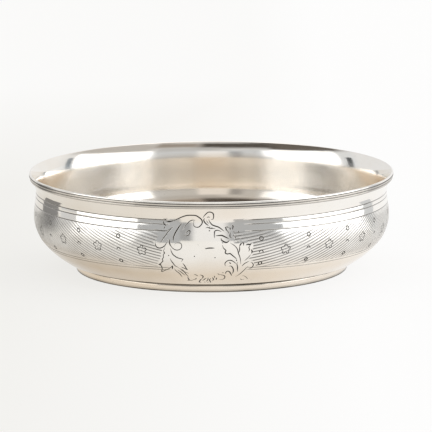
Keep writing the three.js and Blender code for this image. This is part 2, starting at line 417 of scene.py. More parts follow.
BOTTOM_CURLS = (
    (1.1, (218.2, 274.4), (221.8, 275), (224.1, 275.6), (224.9, 277), (224.1, 278.7),
     (221.8, 279.5), (218.7, 279.6)),
    (1, (222.1, 272.5), (223.8, 273)),
    (1, (217.6, 273.6), (219.4, 274.6)),
    (1.1, (214.5, 276), (214.5, 277.8)),
    (1.2, (216.5, 277.6), (216.2, 279.8)),
    (1.2, (212.4, 277.4), (213.5, 279.4), (212.4, 280.8)),
    (1.3, (210.7, 278.4), (209.6, 280), (210.8, 282.6)),
    (1.3, (199.7, 274.9), (201.4, 275.2), (203.1, 276.3), (202.8, 277.7), (202, 278.6)),
    (1.3, (202, 278.6), (200.6, 279.8), (199.3, 282.1), (201.4, 282.5)),
    (1.1, (202, 280.5), (203.7, 280), (204.8, 278.9), (206.5, 278)),
    (1.1, (206.2, 281.5), (207.9, 279.7), (208, 277.8)),
    (1.1, (194.1, 274.4), (195.8, 274.9), (198, 276)),
    (1, (192.6, 279.6), (195.4, 279.2), (196.4, 277.8)),
    (1.4, (187.6, 277.2), (188.4, 278.6), (189.6, 280.2), (193, 280.3)),
    (1.1, (187.2, 280.4), (189.6, 280.4)),
)
# Punched dots of the cartouche, and the scratch in its middle, which starts with its width
DOTS = (
    (168.6, 255.5), (165.4, 219.4), (209.4, 230.7), (194.4, 256.4), (215, 257.7), (236.6, 260.7),
    (196.1, 278.9), (204.8, 282.2), (207.9, 282.2), (210.7, 282.2), (233.9, 231.8), (238.4, 231.3),
    (233.6, 235.2), (235.3, 237.6),
)
DOT_WIDTH = 1.2
SCRATCH = (1.3, (205.1, 248.8), (208.9, 248.1), (214.3, 248.1))
CARTOUCHE = (
    TOP_LEFT_SCROLL, LEFT_STEM, LEFT_LEAF, TOP_RIGHT_VOLUTE, UPPER_RIGHT_LEAF, TULIP_LEAF,
    LOWER_RIGHT_SCROLL, BOTTOM_CURLS, (SCRATCH,),
)
# The outline that the engine turning stops at, as pixels like those of the strokes
RESERVE = (
    (157, 229.7), (163, 231), (167, 229.5), (172, 226), (168, 222.5), (166, 220.5), (175, 217.5),
    (186, 213.5), (197, 213.8), (203, 214.5), (208.5, 210), (215, 212), (216, 220), (222, 225),
    (226, 225), (233, 224), (234.5, 231), (234, 238), (237.5, 243.5), (240, 241.5), (246, 241.5),
    (252.5, 242.5), (252.5, 254), (247, 260.5), (252, 260.5), (255.5, 265), (253, 270), (246, 275),
    (249, 279.5), (240, 283), (210, 284), (184, 282), (176, 277), (170, 272), (160.5, 273),
    (157.5, 264.5), (161, 258), (162, 250), (158, 247.5), (154, 243), (157, 238.5), (161, 234),
    (155, 231.5),
)


def on_the_wall(pixels, camera):
    """The chart points of the wall that the camera sees at some pixels of the photograph."""
    pixels = np.asarray(pixels, float)
    across = (pixels[:, 0] - PICTURE / 2) / PIXELS_PER_METRE / CAMERA_DISTANCE
    down = (pixels[:, 1] - PICTURE / 2) / PIXELS_PER_METRE / CAMERA_DISTANCE
    turn = np.array(camera.matrix_world.to_3x3())
    rays = np.stack([across, -down, -np.ones(len(pixels))], axis=1) @ turn.T
    start = np.array(camera.matrix_world.translation) / MM
    # Each ray meets the front of the wall between these, and every step halves the rest
    near = np.full(len(pixels), CAMERA_DISTANCE / MM - 1.2 * LIP_RADIUS)
    far = near + 0.6 * LIP_RADIUS
    for _ in range(40):
        middle = (near + far) / 2
        place = start + rays * middle[:, None]
        outside = np.hypot(place[:, 0], place[:, 1]) > np.interp(place[:, 2], WALL[:, 1], WALL[:, 0])
        near = np.where(outside, middle, near)
        far = np.where(outside, far, middle)
    angle = np.arctan2(place[:, 0], -place[:, 1])
    return np.stack([angle, along_at(place[:, 2])], axis=1)


def cartouche(camera):
    cuts = []
    for strokes in CARTOUCHE:
        for width, *pixels in strokes:
            cuts.append(smooth_stroke(on_the_wall(pixels, camera), width))
    for angle, along in on_the_wall(DOTS, camera):
        cuts.append(dot(angle, along, DOT_WIDTH))
    return cuts


def nearest_cut(angle, along, radius, cuts):
    """For chart points: how far the edge of a cut is, below 0 inside it, and the cut's depth."""
    gap = np.full(len(angle), FAR)
    depth = np.zeros(len(angle))
    beside = CUT_REACH / BELLY_RADIUS
    for curve, half in cuts:
        low, high = curve.min(axis=0), curve.max(axis=0)
        near = np.nonzero(
            (angle > low[0] - beside) & (angle < high[0] + beside)
            & (along > low[1] - CUT_REACH) & (along < high[1] + CUT_REACH)
        )[0]
        if not len(near):
            continue
        a = curve[:-1] * (BELLY_RADIUS, 1)
        b = curve[1:] * (BELLY_RADIUS, 1)
        run = b - a
        squared = np.maximum((run**2).sum(axis=1), 1e-9)
        for part in np.array_split(near, len(near) // POINTS_AT_A_TIME + 1):
            scale = radius[part] / BELLY_RADIUS
            p = np.stack([angle[part] * BELLY_RADIUS, along[part]], axis=1)
            share = np.clip(((p[:, None] - a) * run).sum(axis=2) / squared, 0, 1)
            away = p[:, None] - (a + share[..., None] * run)
            away[..., 0] *= scale[:, None]
            distance = np.hypot(away[..., 0], away[..., 1])
            width = half[:-1] + share * (half[1:] - half[:-1])
            gap[part] = np.minimum(gap[part], (distance - width).min(axis=1))
            cut = bump_shape(distance, width) * np.minimum(1, 2 * width / CUT_WIDTH)
            depth[part] = np.maximum(depth[part], cut.max(axis=1))
    return gap, depth


class Engraving:
    """All that is cut into the wall: the cartouche in front and the ornament that repeats."""

    def __init__(self, camera):
        self.cartouche = cartouche(camera)
        self.rings = [ring(0, along_at(height), *rest) for height, *rest in RINGS]
        self.floret = floret_motif()

    def at(self, angle, along, radius):
        """For chart points: how far the edge of a cut is, and how deep it is cut, from 0 to 1."""
        gap, depth = nearest_cut(angle, along, radius, self.cartouche)
        angle = angle + np.radians(np.interp(np.degrees(angle), *SET_OUT))
        for motif, shift in ((self.rings, 0), (self.floret, 0.5)):
            number = np.round(angle / STEP - shift) + shift
            folded = angle - number * STEP
            hidden = (number > HIDDEN[0]) & (number < HIDDEN[1])
            motif_gap, motif_depth = nearest_cut(folded, along, radius, motif)
            gap = np.where(hidden, gap, np.minimum(gap, motif_gap))
            depth = np.where(hidden, depth, np.maximum(depth, motif_depth))
        return gap, depth


def turned_depth(angle, along):
    """Depth of the turned grooves, which were scraped away behind the cartouche."""
    depth = np.zeros(len(along))
    for height in TURNED_GROOVES:
        depth += GROOVE_DEPTH * bump_shape(along - along_at(height), GROOVE_WIDTH / 2)
    beside = np.abs(angle - CARTOUCHE_MIDDLE) - CARTOUCHE_REACH
    return depth * np.clip(beside * GROOVE_FADE, 0, 1)


def section_rows():
    """Places along the section where the mesh has a row."""
    wall_start = WALL_ALONG[0]
    wall_end = along_at(COVE_CORNER[1] + COVE_REACH * UP_SLOPE[1])
    slope_end = WALL_ALONG[-1]
    edge_end = slope_end + math.pi * EDGE_RADIUS
    bend_end = BEVEL_FOOT + INNER_BEND
    floor_start = ALONG[-1] - FOOT_RADIUS
    band_start = along_at(SECOND_LINE) - 0.6
    last_row = ALONG[-1] - FIRST_ROW
    # Where each stretch starts and how far apart its rows are; it ends where the next one starts
    stretches = (
        (FIRST_ROW, 12), (FOOT_RADIUS - 2, 1.4), (wall_start - 0.3, 0.15), (wall_start + 0.6, 1.5),
        (band_start, 1.95), (wall_end, 0.9), (slope_end, 0.15), (edge_end, 0.6), (BEVEL_FOOT, 0.35),
        (bend_end, 1.7), (floor_start - 2, 0.5), (floor_start + 1, 11), (last_row, 0),
    )
    rows = [last_row]
    for (start, step), (end, _) in zip(stretches, stretches[1:]):
        rows.extend(np.linspace(start, end, max(1, round((end - start) / step)), endpoint=False))
    rows = np.array(rows)
    across = np.linspace(-0.5, 0.5, GROOVE_ROWS) * GROOVE_WIDTH
    for height in TURNED_GROOVES:
        middle = along_at(height)
        rows = rows[np.abs(rows - middle) > GROOVE_WIDTH / 2 + 0.12]
        rows = np.concatenate([rows, middle + across])
    return np.sort(rows)


def row_place(units, rows):
    """Place along the section of a height in the chart, in units."""
    return np.interp(units / UNITS, np.arange(len(rows)), rows)


def split_cells(rows, engraving):
    """Cells of the chart, in units, split until they are fine enough to hold the cuts."""
    count = len(rows) - 1
    x, y = np.meshgrid(np.arange(COLUMNS) * UNITS, np.arange(count) * UNITS)
    cells = np.stack([x.ravel(), y.ravel(), np.full(x.size, UNITS), np.full(x.size, UNITS)], axis=1)
    # Nothing is cut below the first or above the last of these
    first, last = along_at(TUCK[1]) + 0.3, along_at(COVE_CORNER[1] + 2)
    done = []
    while len(cells):
        middle = cells[:, :2] + cells[:, 2:] / 2
        along = row_place(middle[:, 1], rows)
        radius = np.interp(along, ALONG, SECTION[:, 0])
        width = cells[:, 2] * 2 * math.pi * radius / (COLUMNS * UNITS)
        height = row_place(cells[:, 1] + cells[:, 3], rows) - row_place(cells[:, 1], rows)
        can = (np.maximum(width, height) > FINEST_CELL) & (along > first) & (along < last)
        gap = np.full(len(cells), FAR)
        gap[can], _ = engraving.at(chart_angle(middle[can, 0]), along[can], radius[can])
        split = can & (gap < np.hypot(width, height) / 2 + 0.03)
        across = split & ((width > height) & (cells[:, 2] > 1) | (cells[:, 3] == 1))
        up = split & ~across & (cells[:, 3] > 1)
        across &= cells[:, 2] > 1
        done.append(cells[~(across | up)])
        halves = []
        for chosen, axis in ((across, 0), (up, 1)):
            half = cells[chosen].copy()
            half[:, 2 + axis] //= 2
            other = half.copy()
            other[:, axis] += half[:, 2 + axis]
            halves += [half, other]
        cells = np.concatenate(halves)
    return np.concatenate(done)


# The chart's seam lies behind the bowl, between a row of rings and a floret
SEAM = math.pi - STEP / 4


def chart_angle(units):
    """Angle round the bowl, from its front, of a place in units."""
    return SEAM - FULL_TURN + FULL_TURN * np.asarray(units, float) / (COLUMNS * UNITS)


def inside_outline(points, outline):
    """Which points lie in a closed outline, by counting the edges on one side of each."""
    inside = np.zeros(len(points), bool)
    for (x0, y0), (x1, y1) in zip(outline, np.roll(outline, -1, axis=0)):
        crosses = (y0 > points[:, 1]) != (y1 > points[:, 1])
        at = x0 + (points[:, 1] - y0) * (x1 - x0) / (y1 - y0 + 1e-12)
        inside ^= crosses & (points[:, 0] < at)
    return inside


def on_section(along):
    """Radius and height, and the outward normal, at places along the section."""
    place = np.stack([np.interp(along, ALONG, SECTION[:, i]) for i in (0, 1)], axis=1)
    normal = np.stack([np.interp(along, ALONG, SECTION_NORMALS[:, i]) for i in (0, 1)], axis=1)
    return place, normal / np.linalg.norm(normal, axis=1)[:, None]


def revolved(angle, pairs):
    """Points or directions in space from an angle and pairs of radius and height."""
    return np.stack([pairs[:, 0] * np.sin(angle), -pairs[:, 0] * np.cos(angle), pairs[:, 1]], axis=1)


def cut_surface(angle, along, engraving):
    """Places, normals and engraved depth of the bowl's surface at chart points. The normals
    follow from the depth a short probe to each side."""
    place, normal = on_section(along)
    radius = np.maximum(place[:, 0], 1)
    probe = 0.02

    def depth_at(turn, rise):
        _, engraved = engraving.at(angle + turn * probe / radius, along + rise * probe, radius)
        return engraved * CUT_DEPTH + turned_depth(angle, along + rise * probe), engraved

    depth, engraved = depth_at(0, 0)
    across = (depth_at(1, 0)[0] - depth_at(-1, 0)[0]) / (2 * probe)
    up = (depth_at(0, 1)[0] - depth_at(0, -1)[0]) / (2 * probe)
    level = np.stack([np.cos(angle), np.sin(angle), np.zeros(len(angle))], axis=1)
    upward = revolved(angle, np.stack([-normal[:, 1], normal[:, 0]], axis=1))
    facing = revolved(angle, normal) + across[:, None] * level + up[:, None] * upward
    facing /= np.linalg.norm(facing, axis=1)[:, None]
    return revolved(angle, place - normal * depth[:, None]), facing, engraved


def linked(thing, name):
    """A new object for a mesh, in the scene."""
    piece = bpy.data.objects.new(name, thing)
    bpy.context.scene.collection.objects.link(piece)
    return piece


def mesh_piece(name, places, faces, normals, chart):
    """A smooth mesh from places in millimetres, with its own normals and a chart for baking."""
    mesh = bpy.data.meshes.new(name)
    mesh.from_pydata(places * MM, [], faces, shade_flat=False)
    layer = mesh.uv_layers.new(name="OFBake")
    layer.data.foreach_set("uv", np.asarray(chart, np.float32).ravel())
    mesh.normals_split_custom_set_from_vertices(normals)
    return linked(mesh, name)


def store(piece, name, values):
    """Gives each corner of a piece a number or a direction that its material reads."""
    values = np.asarray(values, np.float32)
    kind, field = ("FLOAT", "value") if values.ndim == 1 else ("FLOAT_VECTOR", "vector")
    attribute = piece.data.attributes.new(name, kind, "POINT")
    attribute.data.foreach_set(field, values.ravel())


def cell_faces(cells, row_count):
    """Corners of the chart's cells, each cell with every corner of its finer neighbours."""
    around = COLUMNS * UNITS
    top = row_count * UNITS
    sides = [cells[:, :2] + cells[:, 2:] * side for side in ((0, 0), (1, 0), (0, 1), (1, 1))]
    corners = np.unique(np.concatenate(sides) % (around, top + 1), axis=0)
    index = {(x, y): i for i, (x, y) in enumerate(corners.tolist())}
    rows, columns = {}, {}
    for x, y in corners.tolist():
        rows.setdefault(y, []).append(x)
        columns.setdefault(x, []).append(y)
    for row in rows.values():
        if row[0] == 0:
            row.append(around)
    columns[around] = columns[0]

    def between(line, low, high):
        return line[bisect_left(line, low):bisect_right(line, high)]

    loops = []
    for x, y, width, height in cells.tolist():
        right, over = x + width, y + height
        loops.append(
            [(i, y) for i in between(rows[y], x, right)]
            + [(right, j) for j in between(columns[right], y + 1, over)]
            + [(i, over) for i in reversed(between(rows[over], x, right - 1))]
            + [(x, j) for j in reversed(between(columns[x], y + 1, over - 1))]
        )
    first, last = rows[0], rows[top]
    under, floor = len(corners), len(corners) + 1
    faces = [[index[(x % around, y)] for x, y in loop] for loop in loops]
    for a, b in zip(first, first[1:]):
        faces.append([under, index[(b % around, 0)], index[(a, 0)]])
        loops.append([(a, -UNITS), (b, 0), (a, 0)])
    for a, b in zip(last, last[1:]):
        faces.append([floor, index[(a, top)], index[(b % around, top)]])
        loops.append([(a, top + UNITS), (a, top), (b, top)])
    return corners, faces, loops


# Tarnish and painted shade, as a share of the deepest, from the left of the bowl to its right: yellow
# on the inner wall, low down outside and in the cove under the lip, and a grey on the outside. The
# yellow is partly tarnish and partly painted shade and painted warm reflection; the grey is painted
# shade, heaviest on the left, away from the lamp.
SIDES = (-1.0, -0.86, -0.72, -0.5, -0.25, -0.15, 0.25, 0.38, 0.63, 0.85, 1.0)
INNER_YELLOW = (0.07, 0.07, 0.04, 0.04, 0.36, 0.44, 0.44, 0.1, 0.1, 0.2, 0.22)
LOW_YELLOW = (0.75, 0.75, 0.75, 0.65, 0.6, 0.52, 0.48, 0.46, 0.4, 0.35, 0.3)
COVE_YELLOW = (0.1, 0.12, 0.14, 0.16, 0.2, 0.2, 0.15, 0.08, 0.0, 0.0, 0.0)
# Painted shade in grey, by side
SIDE_SHADE = (0.26, 0.23, 0.17, 0.13, 0.08, 0.02, 0.03, 0.0, 0.0, 0.0, 0.03)
FLOOR_YELLOW = 0.06
# Heights in millimetres, and how strong each is there
INNER_RISE = ((9, 15), (FLOOR_YELLOW, 1))
LOW_FALL = ((9, 17), (1, 0.15))
COVE_RISE = ((31, 33), (0, 1))
# Painted shade in grey, by height
SIDE_SHADE_FALL = ((5, 12, 20, 29, 34), (1.7, 1.7, 1.2, 0.6, 0.5))
RUBBED_RISE = ((19, 23), (0.2, 1))
# Yellow of the smaller pieces, from left to right, which on the wire and the foot is partly tarnish and
# partly painted shade, heavier on the left; and how dark each is made
WIRE_YELLOW = (0.3, 0.2)
FOOT_YELLOW = (0.62, 0.3)
SOLDER_YELLOW = (0.9, 0.9)
# Grey over the whole wire, partly residue and partly painted shade for the shadowed table it mirrors
REED_DIRT_AND_SHADE = 0.33
HOLLOW_DIRT = 1.4  # between the reeds; what is over 1 makes the black wider
# A painted contact shadow along the foot's bottom edge, and a dark joint with painted shade at its top,
# under the bowl's overhang
FOOT_SHADOW_AND_JOINT = ((0.45, 0.75, 2.4, 2.75), (1, 0, 0, 1))
SOLDER_DIRT = 0.3


def on_outside(along):
    """1 outside, and 0 from the edge of the lip on."""
    return np.interp(along, (WALL_ALONG[-1] - 1, WALL_ALONG[-1]), (1, 0))


def past_bevel(along):
    """1 inside, and 0 up to the foot of the bevel."""
    return np.interp(along, (BEVEL_FOOT, BEVEL_FOOT + 3), (0, 1))


def yellow_and_shade(angle, along, height):
    """Yellow for each point: partly tarnish where the cloth doesn't reach, partly painted shade and
    painted warm reflection, by side and height.
    """
    side = np.sin(angle)
    wall = np.interp(height, *INNER_RISE) * past_bevel(along)
    low = np.interp(side, SIDES, LOW_YELLOW) * np.interp(height, *LOW_FALL)
    cove = np.interp(side, SIDES, COVE_YELLOW) * np.interp(height, *COVE_RISE)
    inner = np.interp(side, SIDES, INNER_YELLOW) * wall
    return np.where(along > BEVEL_FOOT, inner, low + cove * on_outside(along))


def painted_side_shade(angle, along, height):
    """Painted shade in grey: heaviest low down and on the left, away from the lamp, and thinnest in the
    cove.
    """
    side = np.interp(np.sin(angle), SIDES, SIDE_SHADE)
    return on_outside(along) * side * np.interp(height, *SIDE_SHADE_FALL)


def bowl_body(camera):
    """The bowl itself, with its engraving."""
    engraving = Engraving(camera)
    rows = section_rows()
    cells = split_cells(rows, engraving)
    corners, faces, loops = cell_faces(cells, len(rows) - 1)
    angle = chart_angle(corners[:, 0])
    along = row_place(corners[:, 1], rows)
    places, normals, engraved = cut_surface(angle, along, engraving)
    places = np.concatenate([places, [[0, 0, BOTTOM], [0, 0, BOTTOM + SHEET]]])
    normals = np.concatenate([normals, [[0, 0, -1], [0, 0, 1]]])
    chart = np.concatenate([np.asarray(loop, float) for loop in loops])
    tall = (len(rows) + 1) * UNITS
    chart = (chart + (0, UNITS)) / (COLUMNS * UNITS, tall)
    piece = mesh_piece("silver_bowl_body", places, faces, normals, chart)
    mark_bowl(piece, angle, along, places[:-2, 2], engraved, on_the_wall(RESERVE, camera))
    return piece


def mark_bowl(piece, angle, along, height, engraved, reserve):
    """Stores what the bowl's material reads: its cuts, its engine turning, its tarnish and its painted
    shade.
    Each mark ends with its values in the middle of the underside and in the middle of the floor."""
    outside = np.interp(along, WALL_ALONG, np.ones(len(WALL_ALONG)), 0, 0)
    margin = 0.35
    band = np.clip((height - BAND_BOTTOM) / margin, 0, 1) * np.clip((BAND_TOP - height) / margin, 0, 1)
    plain = inside_outline(np.stack([angle, along], axis=1), reserve)
    turned = outside * band * ~plain * (1 - engraved)
    phase = (height - TURNING_LIFT * (1 - np.cos(angle))) / TURNING_PITCH
    store(piece, "engraved", np.append(engraved, (0, 0)))
    store(piece, "turned", np.append(turned, (0, 0)))
    store(piece, "turning", np.append(phase, (0, 0)))

    # Across the lines of the engine turning, and inside across those that the cloth left
    climb = TURNING_LIFT / BELLY_RADIUS * np.sin(angle)
    across = np.stack([-climb * np.cos(angle), -climb * np.sin(angle), np.ones(len(angle))], axis=1)
    _, facing = on_section(along)
    upward = revolved(angle, np.stack([-facing[:, 1], facing[:, 0]], axis=1))
    across = np.where(along[:, None] > BEVEL_FOOT, upward, across)
    rubbed = past_bevel(along) * np.interp(height, *RUBBED_RISE)
    store(piece, "across", np.append(across, [(0, 1, 0), (0, 1, 0)], axis=0))
    store(piece, "rubbed", np.append(rubbed, (0, RUBBED_RISE[1][0])))

    # Yellow and darkening of the colour: tarnish and dark grooves, with painted shade and painted warm
    # reflection laid in by side and height
    yellow = yellow_and_shade(angle, along, height)
    darkening = turned_depth(angle, along) / GROOVE_DEPTH + painted_side_shade(angle, along, height)
    store(piece, "yellow_and_shade", np.append(yellow, (INNER_YELLOW[0], FLOOR_YELLOW)))
    store(piece, "grooves_and_shade", np.append(np.minimum(darkening, 1), (0, 0)))


def turned_ring(name, section, darkening, yellow):
    """A ring from a closed section, drawn with its metal on the left, with its darkening, which on the
    wire and the foot is partly painted shade, and with the yellow of its left and its right side, which
    there is partly tarnish and partly painted shade."""
    closed = np.concatenate([section, section[:1]])
    around = np.concatenate([section[-1:], closed, section[1:2]])
    normal = outward(around)[1:-2]
    count = len(section)
    angle = np.linspace(-math.pi, math.pi, COLUMNS, endpoint=False)
    turn = np.repeat(angle, count)
    places = revolved(turn, np.tile(section, (COLUMNS, 1)))
    normals = revolved(turn, np.tile(normal, (COLUMNS, 1)))
    faces, chart = [], []
    for i in range(COLUMNS):
        for j in range(count):
            corners = [(i, j), (i + 1, j), (i + 1, j + 1), (i, j + 1)]
            faces.append([x % COLUMNS * count + y % count for x, y in corners])
            chart += corners
    piece = mesh_piece(name, places, faces, normals, np.asarray(chart) / (COLUMNS, count))
    store(piece, "grooves_and_shade", np.tile(darkening, COLUMNS))
    store(piece, "yellow_and_shade", np.interp(np.sin(turn), (-1, 1), yellow))
    return piece


# Sizes of the reeded wire, in millimetres, as the model has them
REEDS = 2
REED_PITCH = 0.98
REED_BULGE = 0.14
WIRE_START = 0.12
WIRE_THIN = 0.06
WIRE_THICK = 0.55
WIRE_HEEL = 0.35
SOLDER_FILM = 0.05
REED_STEPS = 12


def on_slope(down, off):
    return SLOPE_TOP - UP_SLOPE * down + OUT_OF_SLOPE * off


def reeded_wire():
    """The wedge-shaped wire under the lip, with its two rounded reeds."""
    length = REEDS * REED_PITCH
    seat_end = length + WIRE_HEEL
    points = [on_slope(WIRE_START, SOLDER_FILM)]
    points += [on_slope(WIRE_START + seat_end * share, SOLDER_FILM) for share in (0.5, 1)]
    darkening = [1] * len(points)
    for step in range(REEDS * REED_STEPS, -1, -1):
        down = step / REED_STEPS * REED_PITCH
        base = WIRE_THIN + (WIRE_THICK - WIRE_THIN) * down / length
        bulge = REED_BULGE * abs(math.sin(math.pi * step / REED_STEPS))
        points.append(on_slope(WIRE_START + down, SOLDER_FILM + base + bulge))
        # Black in the hollows between the reeds; over the rest a grey that is partly residue and partly
        # painted shade
        darkening.append(max(REED_DIRT_AND_SHADE, HOLLOW_DIRT - HOLLOW_DIRT * bulge / REED_BULGE))
    return turned_ring("silver_rim_wire", np.array(points), darkening, WIRE_YELLOW)


# Sizes of the foot, in millimetres, as the model has them
FOOT_STRIP = 1.3
FOOT_TAPER = 0.35
FOOT_EDGE = 0.3
# Its face is nearly upright: heights of points of it, and how far each stands in
FOOT_FACE = ((0.6, 0.02), (2.2, 0.08), (2.7, 0.1))


def ring_foot():
    """The upright strip that the bowl stands on, with worn lower edges."""
    inner = FOOT_RADIUS - FOOT_STRIP
    quarter = math.pi / 2
    low, middle, high = ((FOOT_RADIUS - inset, height) for height, inset in FOOT_FACE)
    section = joined(
        straight((inner, FOOT_HEIGHT), (inner, FOOT_EDGE), 0.6),
        arc((inner + FOOT_EDGE, FOOT_EDGE), FOOT_EDGE, 2 * quarter, 3 * quarter, 6),
        arc((FOOT_RADIUS - FOOT_EDGE, FOOT_EDGE), FOOT_EDGE, -quarter, 0, 6),
        straight((FOOT_RADIUS, FOOT_EDGE), low, 0.1),
        straight(low, middle, 0.8),
        bezier([middle, high, (FOOT_RADIUS - FOOT_TAPER, FOOT_HEIGHT)], 9),
    )
    # A painted contact shadow along the bottom edge, and a dark joint with painted shade at the top
    darkening = np.interp(section[:, 1], *FOOT_SHADOW_AND_JOINT)
    return turned_ring("silver_foot_ring", section, darkening, FOOT_YELLOW)


def solder_seam():
    """The hollow fillet of solder in the corner behind the foot."""
    corner = np.array([SOLDER_RADIUS, FOOT_HEIGHT])
    hollow = bezier([corner - (SOLDER_LEG, 0), corner, corner - (0, SOLDER_LEG)], 9)
    section = joined(hollow, straight(hollow[-1], corner, 0.3))
    darkening = np.full(len(section), SOLDER_DIRT)
    return turned_ring("foot_solder_seam", section, darkening, SOLDER_YELLOW)


def linear(colour):
    """The linear values that a shader takes for an sRGB hex colour."""
    parts = [int(colour[i:i + 2], 16) / 255 for i in (1, 3, 5)]
    return (*(v / 12.92 if v <= 0.04045 else ((v + 0.055) / 1.055) ** 2.4 for v in parts), 1)


def add(tree, kind, inputs=None, **settings):
    """Adds a node with its settings; an input is a value, or the socket that is linked to it."""
    node = tree.nodes.new(kind)
    for name, value in settings.items():
        setattr(node, name, value)
    for name, value in (inputs or {}).items():
        if isinstance(value, bpy.types.NodeSocket):
            tree.links.new(value, node.inputs[name])
        else:
            node.inputs[name].default_value = value
    return node


def sum_of(tree, *sockets, how="ADD", clamp=False):
    """The sockets and numbers added up, or put together in another way."""
    total = sockets[0]
    for other in sockets[1:]:
        both = {0: total, 1: other}
        total = add(tree, "ShaderNodeMath", both, operation=how, use_clamp=clamp).outputs[0]
    return total


def product(tree, *sockets, clamp=False):
    return sum_of(tree, *sockets, how="MULTIPLY", clamp=clamp)


def mix(tree, share, start, end):
    """A colour that goes from one to the other as the share goes from 0 to 1."""
    sides = {"Factor": share, "A": start, "B": end}
    return add(tree, "ShaderNodeMix", sides, data_type="RGBA").outputs["Result"]


def show(tree, shader, output="ShaderNodeOutputMaterial"):
    add(tree, output, {"Surface": shader.outputs[0]})


def new_material(name):
    material = bpy.data.materials.new(name)
    material.use_nodes = True
    tree = material.node_tree
    tree.nodes.clear()
    return material, tree


def mark(tree, name):
    return add(tree, "ShaderNodeAttribute", attribute_name=name).outputs["Fac"]


def ramp(tree, value, low, high, start, end):
    """A value between two numbers, mapped to between two others and held there."""
    sides = {"Value": value, "From Min": low, "From Max": high, "To Min": start, "To Max": end}
    return add(tree, "ShaderNodeMapRange", sides).outputs["Result"]


def noise(tree, place, millimetres, detail=2.0, roughness=0.5):
    """Soft noise with features of that size."""
    inputs = {"Vector": place, "Scale": 1 / (millimetres * MM), "Detail": detail, "Roughness": roughness}
    return add(tree, "ShaderNodeTexNoise", inputs).outputs["Fac"]


def bump(tree, height, millimetres, under=None):
    """A relief of that depth, on top of another one if there is one."""
    inputs = {"Height": height, "Distance": millimetres * MM}
    if under:
        inputs["Normal"] = under
    return add(tree, "ShaderNodeBump", inputs).outputs[0]


BRIGHT_SILVER = "#fbf9f5"
# The yellow and black tarnish colours also paint shade into the silver
YELLOW_TARNISH_AND_SHADE = "#dabe96"
BLACK_TARNISH_AND_SHADE = "#2c2720"
# Millimetres: how wide the marks of hammer and cloth are and how deep, and how wide the patches
# of tarnish and the specks are. The cloth's lines are much longer than they are wide.
HAMMER_MARK = 18
HAMMER_DEPTH = 0.12
CLOTH_LINE = 5
CLOTH_LENGTH = 9  # times its width
CLOTH_DEPTH = 0.006
PATCH = 22
SPECK = 1.1
ENGRAVED_BLACK = 2.6  # times the depth of the cut
TURNED_BLACK = 0.75  # in the troughs of the turned lines


def silver_finish(name, roughness, decorated=False):
    """Sterling silver, raised and planished by hand, polished, then cleaned for many years.
    The eye sees the room in it almost as in a mirror, a little wavy from the hammer, with fine lines
    where the cloth went round, a yellow tarnish low down, and black in every cut. Yellow and grey are
    also laid into its colour as painted shade and painted warm reflection, where it mirrors the shadowed
    table."""
    material, tree = new_material(name)
    place = add(tree, "ShaderNodeTexCoord").outputs["Object"]
    stretch = {"Vector": place, "Scale": (1, 1, CLOTH_LENGTH)}
    lines = add(tree, "ShaderNodeMapping", stretch).outputs[0]
    cloth = noise(tree, lines, CLOTH_LINE, 4, 0.65)
    cloud = noise(tree, place, PATCH, 3, 0.6)
    specks = noise(tree, place, SPECK, 2, 0.6)

    # The yellow mark is partly tarnish, partly painted shade and painted warm reflection
    warm_share = sum_of(tree, ramp(tree, cloud, 0.4, 0.75, 0.0, 0.1), mark(tree, "yellow_and_shade"))
    worn = ramp(tree, cloth, 0.3, 0.7, roughness * 0.7, roughness * 1.4)
    # The grooves mark adds painted shade and a painted contact shadow to the black of the hollows
    black = product(tree, mark(tree, "grooves_and_shade"), ramp(tree, cloud, 0.3, 0.7, 0.7, 1.0))
    normal = bump(tree, noise(tree, place, HAMMER_MARK, 1), HAMMER_DEPTH)
    normal = bump(tree, cloth, CLOTH_DEPTH, normal)
    shine = {"Metallic": 1.0}
    if decorated:
        # Engine turning is a wave across its lines, black in its troughs and worn flat in patches
        turned = mark(tree, "turned")
        turns = product(tree, mark(tree, "turning"), FULL_TURN)
        wave = add(tree, "ShaderNodeMath", {0: turns}, operation="COSINE").outputs[0]
        ripple = product(tree, wave, turned, ramp(tree, cloud, 0.35, 0.65, 0.5, 1.0))
        normal = bump(tree, ripple, TURNING_DEPTH / 2, normal)
        in_lines = product(tree, ramp(tree, ripple, 0.2, -0.8, 0, TURNED_BLACK), turned)
        cuts = product(tree, mark(tree, "engraved"), ENGRAVED_BLACK, clamp=True)
        black = sum_of(tree, black, cuts, in_lines, how="MAXIMUM", clamp=True)
        # Lines too fine for the mesh, turned or rubbed, draw the reflections out across them
        rubbed = mark(tree, "rubbed")
        worn = sum_of(tree, worn, ramp(tree, turned, 0, 1, 0, 0.1), ramp(tree, rubbed, 0, 1, 0, 0.14))
        shine["Anisotropic"] = ramp(tree, sum_of(tree, turned, rubbed), 0, 1, 0, 0.98)
        shine["Tangent"] = add(tree, "ShaderNodeAttribute", attribute_name="across").outputs["Vector"]
    worn = sum_of(tree, worn, ramp(tree, black, 0.2, 1, 0, 0.3))
    black = sum_of(tree, black, ramp(tree, specks, 0.68, 0.8, 0, 0.25), how="MAXIMUM")
    clean = mix(tree, warm_share, linear(BRIGHT_SILVER), linear(YELLOW_TARNISH_AND_SHADE))
    colour = mix(tree, black, clean, linear(BLACK_TARNISH_AND_SHADE))
    shine |= {"Base Color": colour, "Roughness": worn, "Normal": normal}
    show(tree, add(tree, "ShaderNodeBsdfPrincipled", shine))
    return material


def finished(piece, material, slot, *nodes):
    """Gives a piece its material, hangs it under the root body, and hides the nodes of the model that it
    stands for.
    """
    piece.data.materials.append(material)
    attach(piece, "root")
    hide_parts(*nodes)


